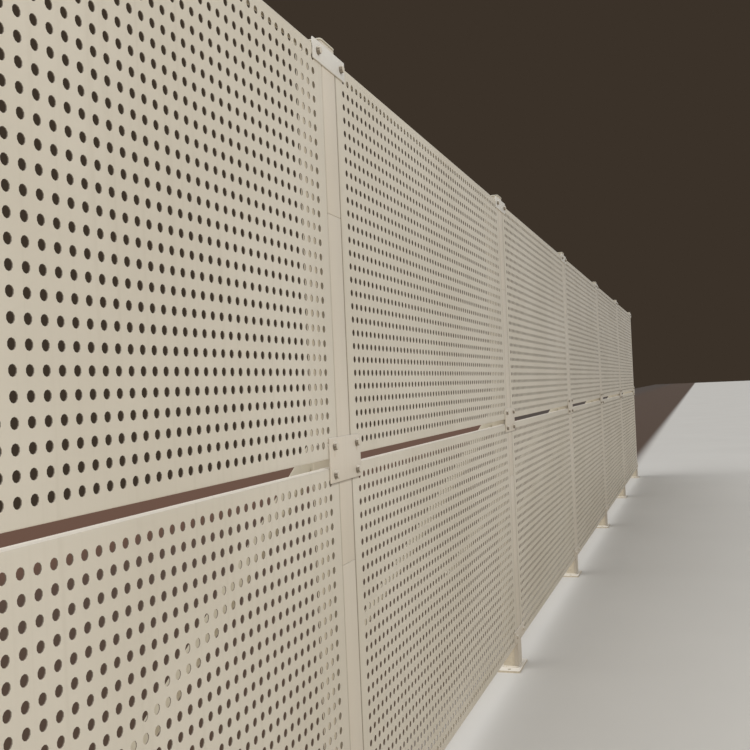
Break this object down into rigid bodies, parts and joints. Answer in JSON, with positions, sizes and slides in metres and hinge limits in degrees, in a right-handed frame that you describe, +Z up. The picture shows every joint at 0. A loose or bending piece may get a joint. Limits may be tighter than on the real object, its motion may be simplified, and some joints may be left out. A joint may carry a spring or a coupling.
{
  "type": "perforated metal hoarding",
  "caption": "Row of hoarding in bays: two punched sheet trays, one above the other, bolted between rectangular steel posts that raking braces hold from behind.",
  "frame": {"origin": "on the ground, under the middle of the fourth post's base plate", "axes": "+X along the row, +Y from the public face to the braced back, +Z up"},
  "size_m": [15.37, 1.092, 2.519],
  "materials": {
    "panel_coat": "cream semi-gloss powder coat",
    "post_coat": "cream semi-gloss powder coat",
    "plate_coat": "cream semi-gloss powder coat",
    "cap_coat": "cream semi-gloss powder coat",
    "brace_coat": "cream paint over galvanised steel"
  },
  "bodies": {
    "root": {"post_1": "post_coat", "post_2": "post_coat", "post_3": "post_coat", "post_4": "post_coat", "post_5": "post_coat", "post_6": "post_coat", "post_7": "post_coat", "panel_lower_1": "panel_coat", "panel_upper_1": "panel_coat", "panel_lower_2": "panel_coat", "panel_upper_2": "panel_coat", "panel_lower_3": "panel_coat", "panel_upper_3": "panel_coat", "panel_lower_4": "panel_coat", "panel_upper_4": "panel_coat", "panel_lower_5": "panel_coat", "panel_upper_5": "panel_coat", "panel_lower_6": "panel_coat", "panel_upper_6": "panel_coat", "post_facings": "post_coat", "middle_plate_1": "plate_coat", "top_plate_1": "plate_coat", "middle_plate_2": "plate_coat", "top_plate_2": "plate_coat", "middle_plate_3": "plate_coat", "top_plate_3": "plate_coat", "middle_plate_4": "plate_coat", "top_plate_4": "plate_coat", "middle_plate_5": "plate_coat", "top_plate_5": "plate_coat", "middle_plate_6": "plate_coat", "top_plate_6": "plate_coat", "middle_plate_7": "plate_coat", "top_plate_7": "plate_coat", "bottom_plates": "plate_coat", "post_caps": "cap_coat", "brace_1": "brace_coat", "brace_2": "brace_coat", "brace_3": "brace_coat", "brace_4": "brace_coat", "brace_5": "brace_coat", "brace_6": "brace_coat", "brace_7": "brace_coat"}
  },
  "joints": []
}
